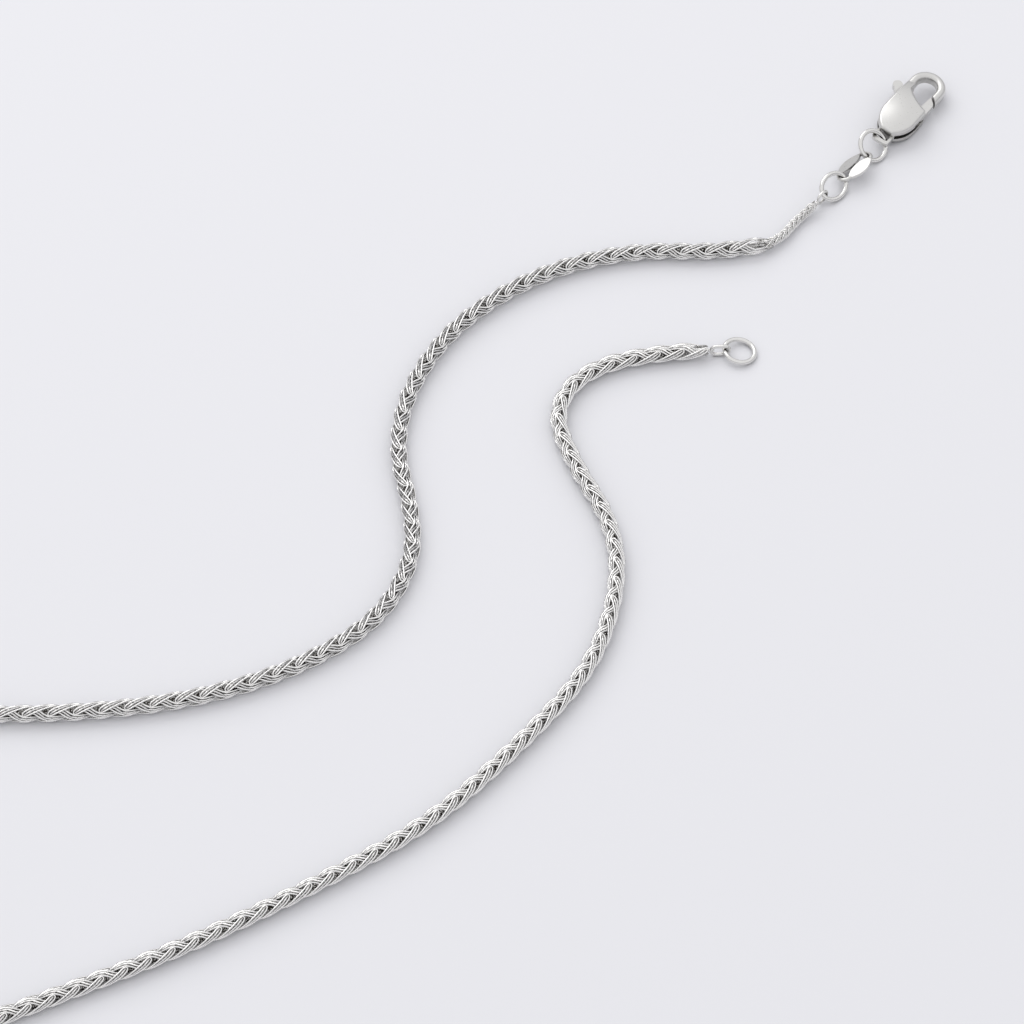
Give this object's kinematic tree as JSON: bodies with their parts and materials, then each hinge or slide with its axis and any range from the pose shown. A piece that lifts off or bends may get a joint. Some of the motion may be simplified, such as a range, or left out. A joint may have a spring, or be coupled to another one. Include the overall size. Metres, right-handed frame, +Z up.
{
  "type": "wheat chain necklace",
  "caption": "Round woven wheat chain necklace with a lobster clasp, jump rings, a tag link and a short finer chain at the clasp end.",
  "frame": {"origin": "middle of the part's extents in X and Y, on the surface that it lies on", "axes": "+X along the longest extent, towards the clasp; +Y the way the picture looks across the surface; +Z up from the surface"},
  "size_m": [0.1715, 0.1408, 0.0026],
  "materials": {
    "woven_chain": "polished white metal",
    "wire": "polished white metal",
    "clasp": "polished white metal"
  },
  "bodies": {
    "necklace": {"wheat_chain_a": "woven_chain", "wheat_chain_b": "woven_chain", "neck_chain": "woven_chain", "neck_end_link": "wire", "jump_ring_chain": "wire", "tag_link": "wire", "jump_ring_clasp": "wire", "clasp_body": "clasp", "clasp_pin": "clasp", "far_end_link": "wire", "far_end_ring": "wire"},
    "lever": {"clasp_lever": "clasp"}
  },
  "joints": [
    {"name": "clasp_lever", "type": "hinge", "parent": "necklace", "child": "lever", "pos_m": [0.08116, 0.06613, 0.00142], "axis": [0.114, -0.0798, 0.9903], "range_deg": [0, 28], "stiffness_Nm_per_rad": 0.004, "springref_deg": -20.05}
  ]
}
